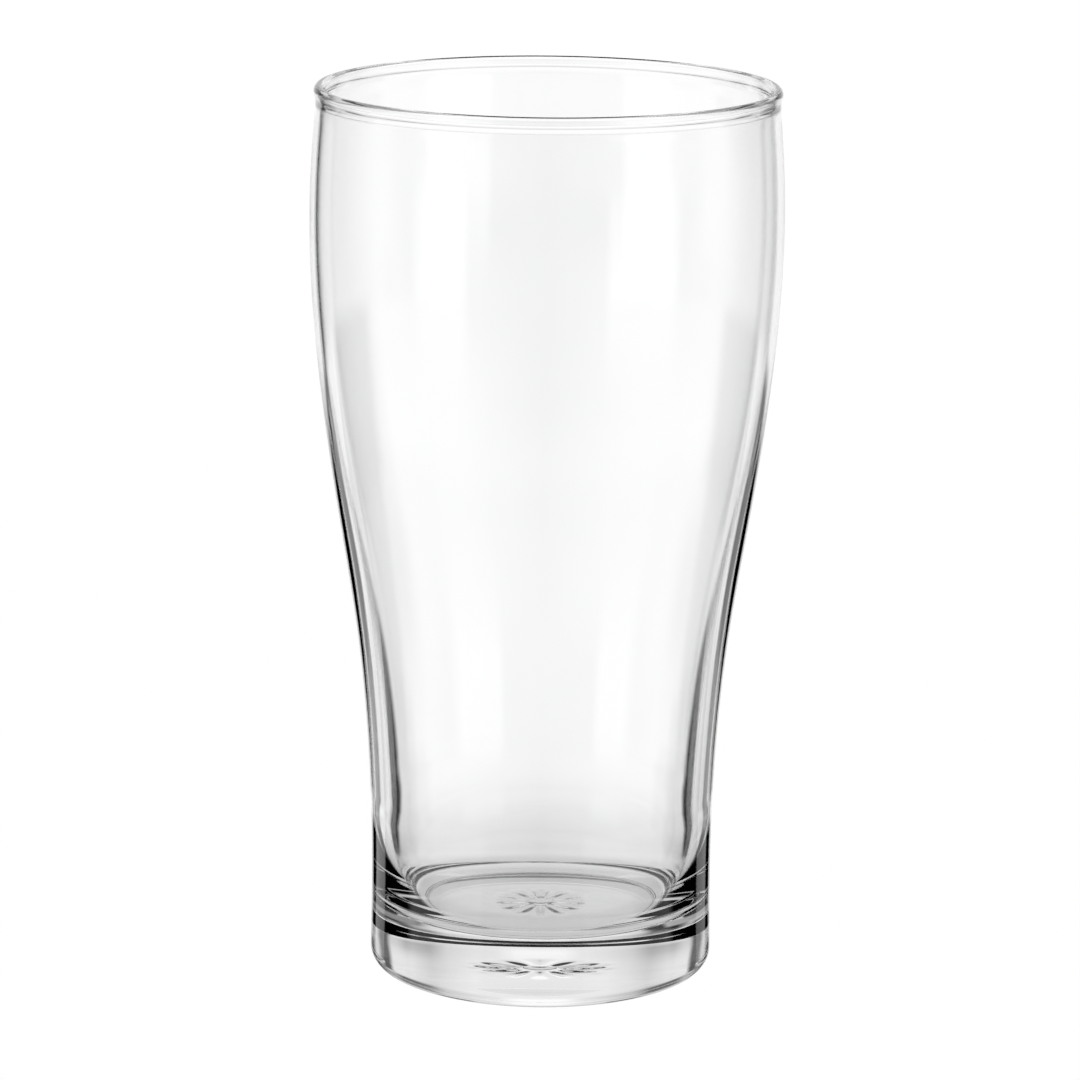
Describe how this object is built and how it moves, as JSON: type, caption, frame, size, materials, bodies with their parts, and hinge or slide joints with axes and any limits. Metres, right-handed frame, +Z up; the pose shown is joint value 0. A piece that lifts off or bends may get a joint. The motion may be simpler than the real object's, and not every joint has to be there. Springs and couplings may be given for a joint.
{
  "type": "pint glass",
  "caption": "Clear tulip-shaped pint beer glass with a beaded rim, a thick solid base and a recessed underside.",
  "frame": {"origin": "middle of the foot, on the surface that the glass stands on", "axes": "+Z up along the axis of the glass, from the foot to the rim; +X and +Y are free, because the glass is round"},
  "size_m": [0.0846, 0.0846, 0.1615],
  "materials": {
    "clear_glass": "fire-polished clear soda-lime glass, smooth inside and out, nearly colourless"
  },
  "bodies": {
    "root": {"glass_body": "clear_glass"}
  },
  "joints": []
}
